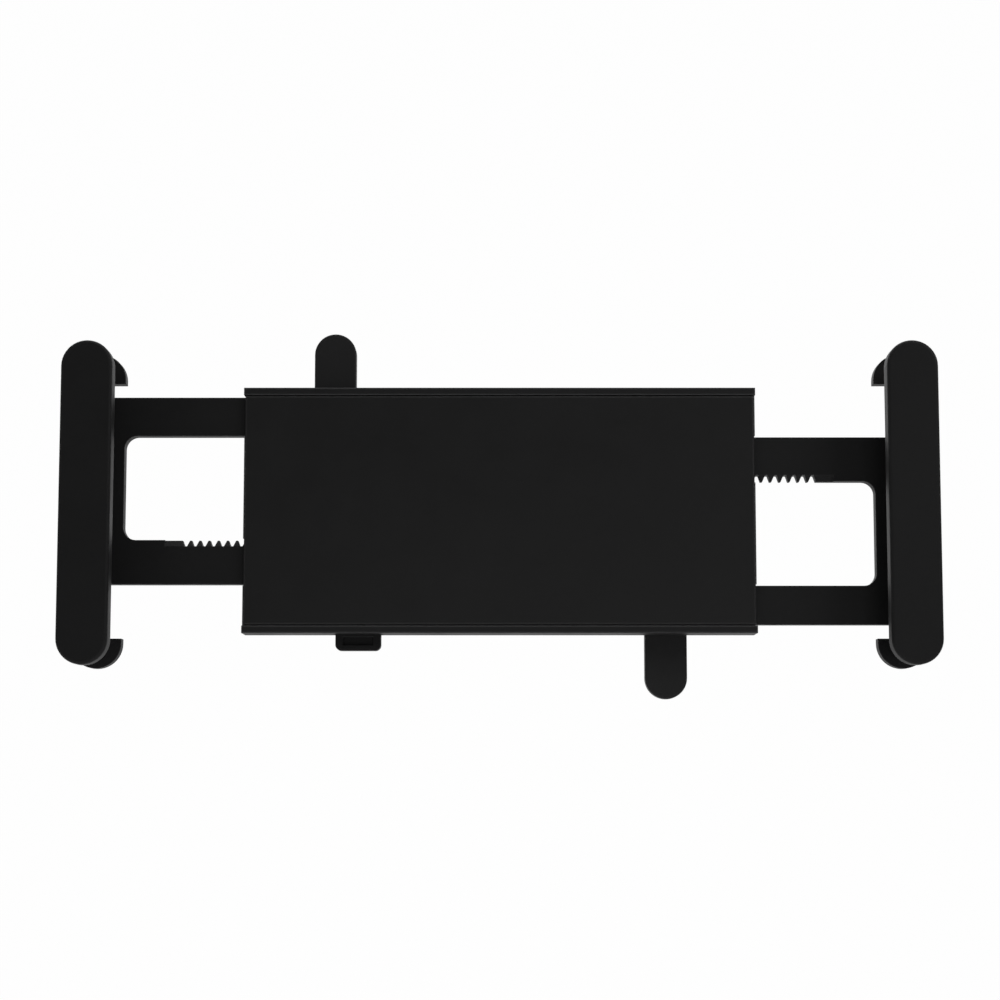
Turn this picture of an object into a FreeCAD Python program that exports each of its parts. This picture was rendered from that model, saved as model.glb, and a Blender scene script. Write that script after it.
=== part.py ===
import FreeCAD, Part
import math
import os
from types import SimpleNamespace

import Sketcher
from FreeCAD import Placement, Rotation, Vector

# Tablet holder for a car headrest, in millimetres.
# +X is to the right of someone facing the tablet, +Z is up and the tablet side faces -Y.
# The origin lies on the gear axis, in the plane of the front plate's face.
# Each half turn about Y maps a left piece onto its right twin.

DRIVING_SIZES = {
    # Housing, front plate and the layers behind it
    "body_width": 139.6,
    "body_height": 67.2,
    "rim_wall": 2.0,
    "end_wall": 1.6,
    "back_wall": 1.6,
    "back_edge_radius": 1.5,
    "plate_thickness": 1.5,
    "plate_gap": 0.25,
    "plate_end_inset": 0.4,
    "plate_edge_radius": 0.3,
    "latch_layer": 3.2,
    "rail_width": 3.0,
    # Sliders
    "slider_thickness": 3.0,
    "slide_gap": 0.25,
    "edge_gap": 0.4,
    "plain_arm_width": 10.6,
    "arm_length": 139.0,
    "window_radius": 3.5,
    "rack_gaps": 49,
    "gaps_before_axis": 34,
    "rack_bevel": 1.6,
    "rack_bevel_lead": 4.4,
    # Jaws
    "jaw_mouth": 102.5,
    "jaw_width": 13.7,
    "jaw_height": 86.2,
    "jaw_wall": 3.0,
    "lip_thickness": 4.0,
    "lip_edge_radius": 0.9,
    "tablet_gap": 12.0,
    "ear_clearance": 1.4,
    "notch_depth": 7.5,
    "pad_thickness": 1.5,
    "pad_rib_pitch": 2.4,
    "pad_rib_depth": 0.5,
    "pad_ribs": 5,
    # Gear teeth, the same on racks and pinions
    "tooth_module": 0.8,
    "tooth_count": 22,
    "tooth_addendum": 0.7,
    "tooth_dedendum": 1.0,
    "tooth_land": 1.0,
    "rack_flank_slope": 0.364,
    "pinion_tip_land": 0.4,
    "pinion_root_land": 1.5,
    "axle_radius": 1.5,
    "axle_seat_gap": 0.05,
    "axle_run_gap": 0.25,
    # Latch
    "ratchet_teeth": 18,
    "ratchet_tip_radius": 7.6,
    "ratchet_root_radius": 6.4,
    "pawl_gap": 0.3,
    "latch_thickness": 1.2,
    "latch_bar": 3.5,
    "latch_window": 20.0,
    "latch_rise": 11.4,
    "latch_arm_width": 8.0,
    "latch_rail_gap": 2.4,
    "latch_travel": 2.5,
    "button_offset": 38.6,
    "button_width": 12.4,
    "button_thickness": 2.8,
    "button_stand": 4.4,
    "button_height": 13.0,
    "button_flange": 1.6,
    "button_flange_height": 3.0,
    "button_corner_radius": 1.6,
    "button_pocket_width": 8.4,
    "button_pocket_height": 2.3,
    "button_pocket_depth": 1.2,
    "button_gap": 0.3,
    "latch_stem_width": 9.0,
    "latch_spring_length": 11.0,
    "latch_spring_radius": 1.0,
    "latch_spring_turns": 6,
    "spring_wire_radius": 0.25,
    "spring_seat_height": 2.5,
    # Headrest clamp
    "clamp_thickness": 3.0,
    "clamp_arm_width": 10.1,
    "clamp_arm_reach": 62.0,
    "clamp_rack_gaps": 26,
    "clamp_gaps_before_axis": 4,
    "hook_inset": 40.0,
    "hook_top": 30.0,
    "hook_width": 11.6,
    "tab_reach": 51.0,
    "hook_wall": 3.5,
    "tab_edge_radius": 0.5,
    "hook_edge_radius": 1.2,
    "post_radius": 6.0,
    "lining_thickness": 1.0,
    "lining_gap": 0.05,
    "post_gap": 0.4,
    "spring_ear": 13.0,
    "spring_ear_width": 4.0,
    "spring_post": 60.0,
    "clamp_spring_radius": 1.1,
    "clamp_spring_turns": 12,
    # Rear cover
    "cover_width": 132.0,
    "cover_wall": 2.0,
    "cover_floor": 1.6,
    "cover_corner_radius": 3.0,
    "cover_edge_radius": 0.8,
    "cover_notch": 36.5,
    "screw_inner": 20.0,
    "screw_outer": 57.0,
    "screw_radius": 1.1,
    "screw_head_radius": 2.2,
    "screw_head_height": 1.3,
    "screw_recess": 1.5,
    "screw_boss_radius": 2.6,
    "screw_length": 7.0,
    "screw_gap": 0.15,
}

doc = FreeCAD.newDocument("tablet_holder")
sheet = doc.addObject("Spreadsheet::Sheet", "Sizes")
for row, (alias, number) in enumerate(DRIVING_SIZES.items(), start=1):
    sheet.set(f"A{row}", alias)
    sheet.set(f"B{row}", str(number))
    sheet.setAlias(f"B{row}", alias)
doc.recompute()


class Size:
    """A length that carries its number and the sheet expression that drives it."""

    def __init__(self, number, text):
        self.number = number
        self.text = text

    def __add__(self, other):
        other = as_size(other)
        return Size(self.number + other.number, f"({self.text} + {other.text})")

    def __sub__(self, other):
        other = as_size(other)
        return Size(self.number - other.number, f"({self.text} - {other.text})")

    def __mul__(self, other):
        other = as_size(other)
        return Size(self.number * other.number, f"({self.text} * {other.text})")

    def __truediv__(self, other):
        other = as_size(other)
        return Size(self.number / other.number, f"({self.text} / {other.text})")

    def __neg__(self):
        return Size(-self.number, f"(-{self.text})")


def as_size(value):
    """A plain number as a Size, so that the two mix in sums."""
    if isinstance(value, Size):
        return value
    return Size(value, f"({value})")


s = SimpleNamespace(**{alias: Size(sheet.get(alias), f"Sizes.{alias}") for alias in DRIVING_SIZES})
ZERO = as_size(0)
FULL_TURN = 360
NEAR = 1e-4

# Heights across the body, from the gear axis outwards
half_height = s.body_height / 2
half_width = s.body_width / 2
inner_height = half_height - s.rim_wall
inner_width = half_width - s.end_wall
pitch_radius = s.tooth_module * s.tooth_count / 2
rack_tip = pitch_radius - s.tooth_addendum
rack_valley = pitch_radius + s.tooth_dedendum
tooth_pitch = s.tooth_module * math.pi
plain_arm_outer = inner_height - s.edge_gap
plain_arm_inner = plain_arm_outer - s.plain_arm_width
rack_arm_outer = plain_arm_inner - s.edge_gap
ear_edge = half_height + s.ear_clearance
plain_arm_middle = plain_arm_outer - s.plain_arm_width / 2
rack_arm_middle = (rack_arm_outer + rack_valley) / 2
latch_low = plain_arm_middle - s.rail_width / 2 - s.latch_rail_gap
latch_high = latch_low - s.latch_arm_width

# Depths of the layers, from the front plate's face backwards
slider_front = s.plate_thickness + s.slide_gap
slider_back = slider_front + s.slider_thickness
latch_front = slider_back + s.slide_gap
wall_front = latch_front + s.latch_layer
body_back = wall_front + s.back_wall
latch_middle = latch_front + s.latch_layer / 2
clamp_front = body_back + s.slide_gap
clamp_back = clamp_front + s.clamp_thickness
floor_front = clamp_back + s.slide_gap
cover_back = floor_front + s.cover_floor
lip_back = -s.tablet_gap
lip_front = lip_back - s.lip_thickness

# Headrest hooks
groove_radius = s.post_radius + s.lining_thickness
groove_x = -(s.hook_inset + s.hook_width) + s.hook_wall + groove_radius
groove_y = cover_back + s.post_gap + s.post_radius
hook_back = groove_y + groove_radius + (groove_y - groove_radius - clamp_front)
clamp_arm_outer = rack_tip + s.clamp_arm_width
spring_line = clamp_arm_outer + s.edge_gap + s.clamp_spring_radius + s.spring_wire_radius
cover_inner = spring_line + s.clamp_spring_radius + s.spring_wire_radius + s.edge_gap
cover_half = cover_inner + s.cover_wall
cover_rib = rack_tip - s.edge_gap
screw_places = [-s.screw_outer, -s.screw_inner, s.screw_inner, s.screw_outer]
button_x = -s.button_offset
button_low = -half_height - s.button_stand
button_top = button_low + s.button_height

HALF_TURN = Placement(Vector(), Rotation(Vector(0, 1, 0), 180))
subparts = []


def corner(x, z):
    """A corner of a profile, from which a straight side starts."""
    return (as_size(x), as_size(z), None)


def bend(x, z, centre_x, centre_z, anticlockwise=True):
    """A corner of a profile from which an arc about a centre starts."""
    return (as_size(x), as_size(z), (as_size(centre_x), as_size(centre_z), anticlockwise))


def rectangle(x_low, x_high, z_low, z_high):
    """The four corners of an upright rectangle."""
    return [corner(x_low, z_low), corner(x_high, z_low), corner(x_high, z_high), corner(x_low, z_high)]


def turned(path):
    """A profile turned half a turn about the gear axis."""
    result = []
    for x, z, arc in path:
        if arc:
            arc = (-arc[0], -arc[1], arc[2])
        result.append((-x, -z, arc))
    return result


def new_body(label, turn=False):
    """A sub-part's body; the right twin of a left piece is turned half a turn."""
    body = doc.addObject("PartDesign::Body", label)
    body.Label = label
    if turn:
        body.Placement = HALF_TURN
    subparts.append(body)
    return body


def new_sketch(body, depth, role="XZ_Plane"):
    """A sketch at a depth behind the front face, or at a height on another origin plane."""
    sketch = body.newObject("Sketcher::SketchObject", body.Label + "_sketch")
    plane = [feature for feature in body.Origin.OriginFeatures if feature.Role == role][0]
    sketch.AttachmentSupport = (plane, [""])
    sketch.MapMode = "FlatFace"
    along_normal = as_size(depth)
    if role == "XZ_Plane":
        along_normal = -along_normal
    sketch.setExpression("AttachmentOffset.Base.z", along_normal.text)
    return sketch


def fix_point(sketch, geometry, position, x=None, z=None):
    """Ties a point of the sketch to the sizes that place it."""
    for kind, value in (("DistanceX", x), ("DistanceY", z)):
        if value is None:
            continue
        index = sketch.addConstraint(Sketcher.Constraint(kind, -1, 1, geometry, position, value.number))
        name = f"size_{index}"
        sketch.renameConstraint(index, name)
        sketch.setExpression(f"Constraints.{name}", value.text)


def draw_arc(sketch, start, end, arc):
    """An arc between two corners; returns its index and the ends that they sit on."""
    centre = Vector(arc[0].number, arc[1].number, 0)
    if not arc[2]:
        start, end = end, start
    reach = Vector(start[0].number, start[1].number, 0) - centre
    far = Vector(end[0].number, end[1].number, 0) - centre
    first = math.atan2(reach.y, reach.x)
    last = math.atan2(far.y, far.x)
    if last <= first:
        last += 2 * math.pi
    circle = Part.Circle(centre, Vector(0, 0, 1), reach.Length)
    index = sketch.addGeometry(Part.ArcOfCircle(circle, first, last))
    return (index, 1, 2) if arc[2] else (index, 2, 1)


def draw_profile(sketch, path):
    """A closed profile of straight sides and arcs, with every corner tied to its sizes."""
    sides = []
    for place, start in enumerate(path):
        end = path[(place + 1) % len(path)]
        if start[2]:
            sides.append(draw_arc(sketch, start, end, start[2]))
        else:
            line = Part.LineSegment(
                Vector(start[0].number, start[1].number, 0),
                Vector(end[0].number, end[1].number, 0),
            )
            sides.append((sketch.addGeometry(line), 1, 2))
    for place, (index, begins, ends) in enumerate(sides):
        start = path[place]
        end = path[(place + 1) % len(path)]
        follower = sides[(place + 1) % len(path)]
        sketch.addConstraint(Sketcher.Constraint("Coincident", index, ends, follower[0], follower[1]))
        fix_point(sketch, index, begins, start[0], start[1])
        if start[2]:
            chord_is_flat = abs(start[0].number - end[0].number) >= abs(start[1].number - end[1].number)
            if chord_is_flat:
                fix_point(sketch, index, 3, z=start[2][1])
            else:
                fix_point(sketch, index, 3, x=start[2][0])


def draw_circle(sketch, x, z, radius):
    """A circle tied to its centre and radius."""
    circle = Part.Circle(Vector(x.number, z.number, 0), Vector(0, 0, 1), radius.number)
    geometry = sketch.addGeometry(circle)
    fix_point(sketch, geometry, 3, x, z)
    index = sketch.addConstraint(Sketcher.Constraint("Radius", geometry, radius.number))
    name = f"size_{index}"
    sketch.renameConstraint(index, name)
    sketch.setExpression(f"Constraints.{name}", radius.text)


def sketch_of(body, depth, paths=(), circles=(), role="XZ_Plane"):
    """A sketch with the given profiles and circles (x, z, radius)."""
    sketch = new_sketch(body, depth, role)
    for path in paths:
        draw_profile(sketch, path)
    for circle in circles:
        draw_circle(sketch, *[as_size(value) for value in circle])
    return sketch


def pad(body, front, back, paths=(), circles=()):
    """Material between two depths."""
    sketch = sketch_of(body, front, paths, circles)
    feature = body.newObject("PartDesign::Pad", body.Label + "_pad")
    feature.Profile = sketch
    feature.Reversed = True
    feature.setExpression("Length", (as_size(back) - front).text)
    doc.recompute()
    return feature


def pocket(body, front, back, paths=(), circles=()):
    """A cut between two depths."""
    sketch = sketch_of(body, front, paths, circles)
    feature = body.newObject("PartDesign::Pocket", body.Label + "_pocket")
    feature.Profile = sketch
    feature.setExpression("Length", (as_size(back) - front).text)
    before = body.Shape.Volume
    doc.recompute()
    if body.Shape.Volume >= before:
        raise RuntimeError(f"a cut in {body.Label} removed nothing")
    return feature


def pattern_round(body, feature, count):
    """Copies of a feature round the gear axis."""
    pattern = body.newObject("PartDesign::PolarPattern", body.Label + "_pattern")
    pattern.Originals = [feature]
    pattern.Axis = (feature.Profile[0], ["N_Axis"])
    pattern.Angle = FULL_TURN
    pattern.setExpression("Occurrences", count.text)
    body.Tip = pattern
    doc.recompute()


def pattern_along(body, feature, pitch, count):
    """Copies of a feature in a row along the arm."""
    pattern = body.newObject("PartDesign::LinearPattern", body.Label + "_row")
    pattern.Originals = [feature]
    pattern.Direction = (feature.Profile[0], ["H_Axis"])
    pattern.setExpression("Length", (pitch * (count - 1)).text)
    pattern.setExpression("Occurrences", count.text)
    body.Tip = pattern
    doc.recompute()


def round_edges(body, radius, wanted):
    """Rounds the edges of the body's last feature that a test picks."""
    edges = body.Tip.Shape.Edges
    names = [f"Edge{place}" for place, edge in enumerate(edges, start=1) if wanted(edge)]
    fillet = body.newObject("PartDesign::Fillet", body.Label + "_fillet")
    fillet.Base = (body.Tip.BaseFeature if body.Tip is fillet else body.Tip, names)
    fillet.setExpression("Radius", radius.text)
    body.Tip = fillet
    doc.recompute()


def lies_at(edge, x=None, y=None, z=None):
    """Whether all of an edge lies at the given coordinates."""
    box = edge.BoundBox
    for value, low, high in ((x, box.XMin, box.XMax), (y, box.YMin, box.YMax), (z, box.ZMin, box.ZMax)):
        if value is None:
            continue
        if abs(low - value.number) > NEAR or abs(high - value.number) > NEAR:
            return False
    return True


def rack_gap(first_place, sign):
    """The gap between two rack teeth; sign gives the side that the teeth point from."""
    half_pitch = tooth_pitch / 2
    tip_half = half_pitch - s.tooth_land / 2 + s.rack_flank_slope * s.tooth_addendum
    floor_half = half_pitch - s.tooth_land / 2 - s.rack_flank_slope * s.tooth_dedendum
    middle = -tooth_pitch * first_place
    mouth = rack_tip - s.edge_gap
    tip = rack_tip
    path = [
        corner(middle - tip_half, mouth),
        corner(middle + tip_half, mouth),
        corner(middle + tip_half, tip),
        corner(middle + floor_half, rack_valley),
        corner(middle - floor_half, rack_valley),
        corner(middle - tip_half, tip),
    ]
    return [(x, z * sign, arc) for x, z, arc in path]


def make_housing():
    """Box-shaped body: open front for the plate, end openings for the arms, flat back wall."""
    body = new_body("housing")
    pad(body, ZERO, body_back, [rectangle(-half_width, half_width, -half_height, half_height)])
    round_edges(body, s.back_edge_radius, lambda edge: lies_at(edge, y=body_back))
    plate_seat = rectangle(-s.body_width, s.body_width, -inner_height, inner_height)
    pocket(body, ZERO, s.plate_thickness, [plate_seat])
    inside = rectangle(-inner_width, inner_width, -inner_height, inner_height)
    pocket(body, s.plate_thickness, wall_front, [inside])
    end_openings = [
        rectangle(-s.body_width, -inner_width, rack_arm_outer, inner_height),
        rectangle(-s.body_width, -inner_width, -plain_arm_inner, -(rack_tip - s.edge_gap)),
    ]
    pocket(body, s.plate_thickness, latch_front, end_openings + [turned(path) for path in end_openings])
    slot_half = s.button_width / 2 + s.button_gap
    pocket(
        body,
        latch_middle - s.button_thickness / 2 - s.button_gap,
        wall_front,
        [rectangle(button_x - slot_half, button_x + slot_half, -s.body_height, -inner_height)],
    )
    add_rails(body)
    bosses = [(x, ZERO, s.screw_boss_radius) for x in screw_places]
    pad(body, latch_front + s.slide_gap, wall_front, circles=bosses)
    seat = latch_spring_top()
    seat_half = s.latch_stem_width / 2
    pad(
        body,
        latch_front + s.slide_gap,
        wall_front,
        [rectangle(button_x - seat_half, button_x + seat_half, seat, seat + s.spring_seat_height)],
    )
    threads = [(x, ZERO, s.screw_radius + s.axle_seat_gap) for x in screw_places]
    pocket(body, screw_tip() - s.slide_gap, body_back, circles=threads)
    pocket(body, wall_front, body_back, circles=[(ZERO, ZERO, s.axle_radius + s.axle_seat_gap)])


def latch_spring_top():
    """Height of the housing seat that the latch spring pushes against."""
    return -latch_high + s.latch_spring_length


def screw_tip():
    """Depth that the cover screws reach from behind."""
    return cover_back - s.screw_recess - s.screw_length


def add_rails(body):
    """Rails on the back wall that carry the arms, clear of the latch and its button."""
    half_rail = s.rail_width / 2
    end = inner_width - s.edge_gap
    inner_end = s.screw_inner + s.screw_boss_radius * 2
    button_side = s.button_offset + s.button_width / 2 + s.button_flange + s.latch_travel
    rails = [
        rectangle(-end, end, plain_arm_middle - half_rail, plain_arm_middle + half_rail),
        rectangle(-inner_end, end, -plain_arm_middle - half_rail, -plain_arm_middle + half_rail),
        rectangle(-end, -button_side, -plain_arm_middle - half_rail, -plain_arm_middle + half_rail),
        rectangle(-end, -inner_end, rack_arm_middle - half_rail, rack_arm_middle + half_rail),
        rectangle(inner_end, end, rack_arm_middle - half_rail, rack_arm_middle + half_rail),
        rectangle(inner_end, end, -rack_arm_middle - half_rail, -rack_arm_middle + half_rail),
        rectangle(-end, -button_side, -rack_arm_middle - half_rail, -rack_arm_middle + half_rail),
    ]
    pad(body, latch_front, wall_front, rails)


def make_front_plate():
    """Flat plate between the rims, a fine groove away from each."""
    body = new_body("front_plate")
    half_plate = half_width - s.plate_end_inset
    plate_height = inner_height - s.plate_gap
    pad(body, ZERO, s.plate_thickness, [rectangle(-half_plate, half_plate, -plate_height, plate_height)])
    round_edges(body, s.plate_edge_radius, lambda edge: lies_at(edge, y=ZERO))


def make_slider(label, turn):
    """Channel jaw, web, plain arm above and toothed arm below, moulded as one piece."""
    body = new_body(label, turn)
    outer = -s.jaw_mouth - s.jaw_width
    lip_radius = s.jaw_width / 2
    lip_middle = -s.jaw_mouth - lip_radius
    straight = s.jaw_height / 2 - lip_radius
    stadium = [
        corner(outer, straight),
        bend(outer, -straight, lip_middle, -straight),
        corner(-s.jaw_mouth, -straight),
        bend(-s.jaw_mouth, straight, lip_middle, straight),
    ]
    pad(body, lip_front, slider_back, [stadium])
    round_edges(body, s.lip_edge_radius, lambda edge: lies_at(edge, y=lip_front))
    wall_inside = outer + s.jaw_wall
    pocket(body, lip_back, slider_front, [rectangle(wall_inside, ZERO, -s.jaw_height, s.jaw_height)])
    notch_end = -s.jaw_mouth - s.notch_depth
    notches = [
        rectangle(notch_end, ZERO, plain_arm_outer, ear_edge),
        rectangle(notch_end, ZERO, -ear_edge, -rack_arm_outer),
    ]
    pocket(body, slider_front, slider_back, notches)
    arm_end = -s.jaw_mouth + s.arm_length
    root = -s.jaw_mouth
    bow = s.window_radius
    arms = [
        corner(notch_end, plain_arm_outer),
        corner(notch_end, -rack_arm_outer),
        corner(arm_end, -rack_arm_outer),
        corner(arm_end, -rack_tip),
        bend(root + bow, -rack_tip, root + bow, bow - rack_tip, False),
        corner(root, bow - rack_tip),
        bend(root, plain_arm_inner - bow, root + bow, plain_arm_inner - bow, False),
        corner(root + bow, plain_arm_inner),
        corner(arm_end, plain_arm_inner),
        corner(arm_end, plain_arm_outer),
    ]
    pad(body, slider_front, slider_back, [arms])
    bevel_rack_edge(body, arm_end)
    gap = pocket(body, slider_front, slider_back, [rack_gap(s.gaps_before_axis, -1)])
    pattern_along(body, gap, tooth_pitch, s.rack_gaps)


def bevel_rack_edge(body, arm_end):
    """The slope along the toothed edge's front corner, from a step ahead of the first tooth."""
    first_tooth = -tooth_pitch * s.gaps_before_axis - tooth_pitch / 2
    start = first_tooth - s.rack_bevel_lead
    slope = [
        corner(slider_front - s.edge_gap, -rack_valley),
        corner(slider_front, -rack_valley),
        corner(slider_front + s.rack_bevel, s.edge_gap - rack_tip),
        corner(slider_front - s.edge_gap, s.edge_gap - rack_tip),
    ]
    bevel = body.newObject("PartDesign::Pocket", body.Label + "_bevel")
    bevel.Profile = sketch_of(body, start, [slope], role="YZ_Plane")
    bevel.Reversed = True
    bevel.setExpression("Length", (arm_end - start + s.edge_gap).text)
    before = body.Shape.Volume
    doc.recompute()
    if body.Shape.Volume >= before:
        raise RuntimeError("the rack's bevel removed nothing")


def make_jaw_pad(label, turn):
    """Ribbed rubber strip on the inside of the jaw's end wall."""
    body = new_body(label, turn)
    seat = -s.jaw_mouth - s.jaw_width + s.jaw_wall
    strip_half = s.jaw_height / 2 - s.jaw_width / 2
    face = seat + s.pad_thickness
    pad(body, lip_back, slider_front, [rectangle(seat, face, -strip_half, strip_half)])
    rib_half = s.pad_rib_depth / 2
    first = -s.tablet_gap / 2 - s.pad_rib_pitch * (s.pad_ribs - 1) / 2
    for rib in range(int(s.pad_ribs.number)):
        middle = first + s.pad_rib_pitch * rib
        groove = rectangle(face - s.pad_rib_depth, face + s.pad_rib_depth, -s.jaw_height, s.jaw_height)
        pocket(body, middle - rib_half, middle + rib_half, [groove])


def draw_gear(body, front, back):
    """A pinion's teeth round its root disc."""
    root_radius = pitch_radius - s.tooth_dedendum
    tip_radius = pitch_radius + s.tooth_addendum
    sunk = root_radius - s.tooth_dedendum / 2
    tooth = [
        corner(-s.pinion_root_land / 2, -sunk),
        corner(-s.pinion_root_land / 2, -root_radius),
        corner(-s.pinion_tip_land / 2, -tip_radius),
        corner(s.pinion_tip_land / 2, -tip_radius),
        corner(s.pinion_root_land / 2, -root_radius),
        corner(s.pinion_root_land / 2, -sunk),
    ]
    pad(body, front, back, circles=[(ZERO, ZERO, root_radius)])
    pattern_round(body, pad(body, front, back, [tooth]), s.tooth_count)


def make_slider_pinion():
    """Pinion between the two racks, with a ratchet deck behind it for the pawl."""
    body = new_body("slider_pinion")
    deck = latch_front + s.slide_gap
    back = wall_front - s.slide_gap
    draw_gear(body, slider_front, deck)
    pad(body, deck, back, circles=[(ZERO, ZERO, s.ratchet_root_radius)])
    step = 2 * math.pi / s.ratchet_teeth.number
    sunk = s.ratchet_root_radius - (s.ratchet_tip_radius - s.ratchet_root_radius) / 2
    saw = [
        corner(ZERO, sunk),
        corner(s.ratchet_root_radius * math.sin(step), s.ratchet_root_radius * math.cos(step)),
        corner(ZERO, s.ratchet_tip_radius),
    ]
    pattern_round(body, pad(body, deck, back, [saw]), s.ratchet_teeth)
    pocket(body, slider_front, back, circles=[(ZERO, ZERO, s.axle_radius + s.axle_run_gap)])


def make_clamp_pinion():
    """Pinion between the two clamp arms."""
    body = new_body("clamp_pinion")
    draw_gear(body, clamp_front, clamp_back)
    pocket(body, clamp_front, clamp_back, circles=[(ZERO, ZERO, s.axle_radius + s.axle_run_gap)])


def make_gear_axle():
    """Steel pin through the back wall that carries both pinions."""
    body = new_body("gear_axle")
    pad(body, slider_front, floor_front, circles=[(ZERO, ZERO, s.axle_radius)])


def make_latch_plate():
    """Steel plate with a window round the ratchet and a pawl at its top edge."""
    body = new_body("latch_plate")
    half_window = s.latch_window / 2
    outer = half_window + s.latch_bar
    stem = s.latch_stem_width / 2
    stem_low = button_top - s.button_height / 2
    plate = [
        corner(button_x - stem, stem_low),
        corner(button_x + stem, stem_low),
        corner(button_x + stem, -latch_low),
        corner(outer, -latch_low),
        corner(outer, s.latch_rise + s.latch_bar),
        corner(-outer, s.latch_rise + s.latch_bar),
        corner(-outer, -latch_high),
        corner(button_x - stem, -latch_high),
    ]
    pawl_low = s.ratchet_tip_radius + s.pawl_gap
    pawl_wide = s.latch_bar / 2
    window = [
        corner(-half_window, -half_window - s.latch_travel / 2),
        corner(half_window, -half_window - s.latch_travel / 2),
        corner(half_window, s.latch_rise),
        corner(pawl_wide, s.latch_rise),
        corner(ZERO, pawl_low),
        corner(-pawl_wide, s.latch_rise),
        corner(-half_window, s.latch_rise),
    ]
    half_thick = s.latch_thickness / 2
    pad(body, latch_middle - half_thick, latch_middle + half_thick, [plate, window])


def make_release_button():
    """Button through the bottom wall, with a shallow pocket in its face and a flange that stops it."""
    body = new_body("release_button")
    front = latch_middle - s.button_thickness / 2
    back = latch_middle + s.button_thickness / 2
    half = s.button_width / 2
    wide = half + s.button_flange
    flange_low = -inner_height + s.slide_gap
    flange_high = flange_low + s.button_flange_height
    radius = s.button_corner_radius
    left = button_x - half
    right = button_x + half
    shape = [
        bend(left, button_low + radius, left + radius, button_low + radius),
        corner(left + radius, button_low),
        bend(right - radius, button_low, right - radius, button_low + radius),
        corner(right, button_low + radius),
        corner(right, flange_low),
        corner(button_x + wide, flange_low),
        corner(button_x + wide, flange_high),
        corner(right, flange_high),
        corner(right, button_top),
        corner(left, button_top),
        corner(left, flange_high),
        corner(button_x - wide, flange_high),
        corner(button_x - wide, flange_low),
        corner(left, flange_low),
    ]
    pad(body, front, back, [shape])
    pocket_half = s.button_pocket_width / 2
    pocket_top = -half_height - s.button_pocket_depth / 2
    face = rectangle(
        button_x - pocket_half, button_x + pocket_half, pocket_top - s.button_pocket_height, pocket_top
    )
    pocket(body, front, front + s.button_pocket_depth, [face])
    slot_half = s.latch_stem_width / 2 + s.axle_seat_gap
    half_thick = s.latch_thickness / 2 + s.axle_seat_gap
    slot_low = button_top - s.button_height / 2 - s.axle_seat_gap
    slot = rectangle(button_x - slot_half, button_x + slot_half, slot_low, button_top + s.edge_gap)
    pocket(body, latch_middle - half_thick, latch_middle + half_thick, [slot])


def make_clamp_arm(label, turn):
    """Toothed bar with a headrest hook at its outer end, and a thin tab above it to pull."""
    body = new_body(label, turn)
    outer = -s.hook_inset - s.hook_width
    inner = -s.hook_inset
    tip_radius = s.hook_width / 2
    straight = s.tab_reach - tip_radius
    ear = s.spring_ear
    ear_top = spring_line + s.clamp_spring_radius + s.spring_wire_radius
    tab = [
        corner(outer, rack_tip),
        corner(inner, rack_tip),
        bend(inner, straight, outer + tip_radius, straight),
        corner(outer, straight),
    ]
    pad(body, clamp_front, clamp_back, [tab])
    round_edges(body, s.tab_edge_radius, lambda edge: lies_at(edge, y=clamp_front))
    pad(body, clamp_front, hook_back, [rectangle(outer, inner, rack_tip, s.hook_top)])
    round_edges(body, s.hook_edge_radius, lambda edge: lies_at(edge, y=hook_back))
    cut_post_groove(body)
    bar = [
        corner(inner - s.hook_wall, rack_tip),
        corner(s.clamp_arm_reach, rack_tip),
        corner(s.clamp_arm_reach, clamp_arm_outer),
        corner(ear + s.spring_ear_width, clamp_arm_outer),
        corner(ear + s.spring_ear_width, ear_top),
        corner(ear, ear_top),
        corner(ear, clamp_arm_outer),
        corner(inner - s.hook_wall, clamp_arm_outer),
    ]
    pad(body, clamp_front, clamp_back, [bar])
    gap = pocket(body, clamp_front, clamp_back, [rack_gap(s.clamp_gaps_before_axis, 1)])
    pattern_along(body, gap, tooth_pitch, s.clamp_rack_gaps)


def cut_post_groove(body):
    """The half-round groove for the headrest post, open towards the middle."""
    sketch = new_sketch(body, ZERO, "XY_Plane")
    open_side = groove_x + groove_radius * 2
    draw_profile(
        sketch,
        [
            bend(groove_x, groove_y + groove_radius, groove_x, groove_y),
            corner(groove_x, groove_y - groove_radius),
            corner(open_side, groove_y - groove_radius),
            corner(open_side, groove_y + groove_radius),
        ],
    )
    groove = body.newObject("PartDesign::Pocket", body.Label + "_groove")
    groove.Profile = sketch
    groove.Reversed = True
    groove.setExpression("Length", (s.hook_top * 2).text)
    before = body.Shape.Volume
    doc.recompute()
    if body.Shape.Volume >= before:
        raise RuntimeError("the post groove removed nothing")


def make_clamp_pad(label, turn):
    """Half-round rubber lining of the hook's groove."""
    body = new_body(label, turn)
    outside = groove_radius - s.lining_gap
    sketch = new_sketch(body, rack_tip, "XY_Plane")
    draw_profile(
        sketch,
        [
            bend(groove_x, groove_y + outside, groove_x, groove_y),
            corner(groove_x, groove_y - outside),
            bend(groove_x, groove_y - s.post_radius, groove_x, groove_y, False),
            corner(groove_x, groove_y + s.post_radius),
        ],
    )
    lining = body.newObject("PartDesign::Pad", label + "_lining")
    lining.Profile = sketch
    lining.setExpression("Length", (s.hook_top - rack_tip).text)
    doc.recompute()


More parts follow.
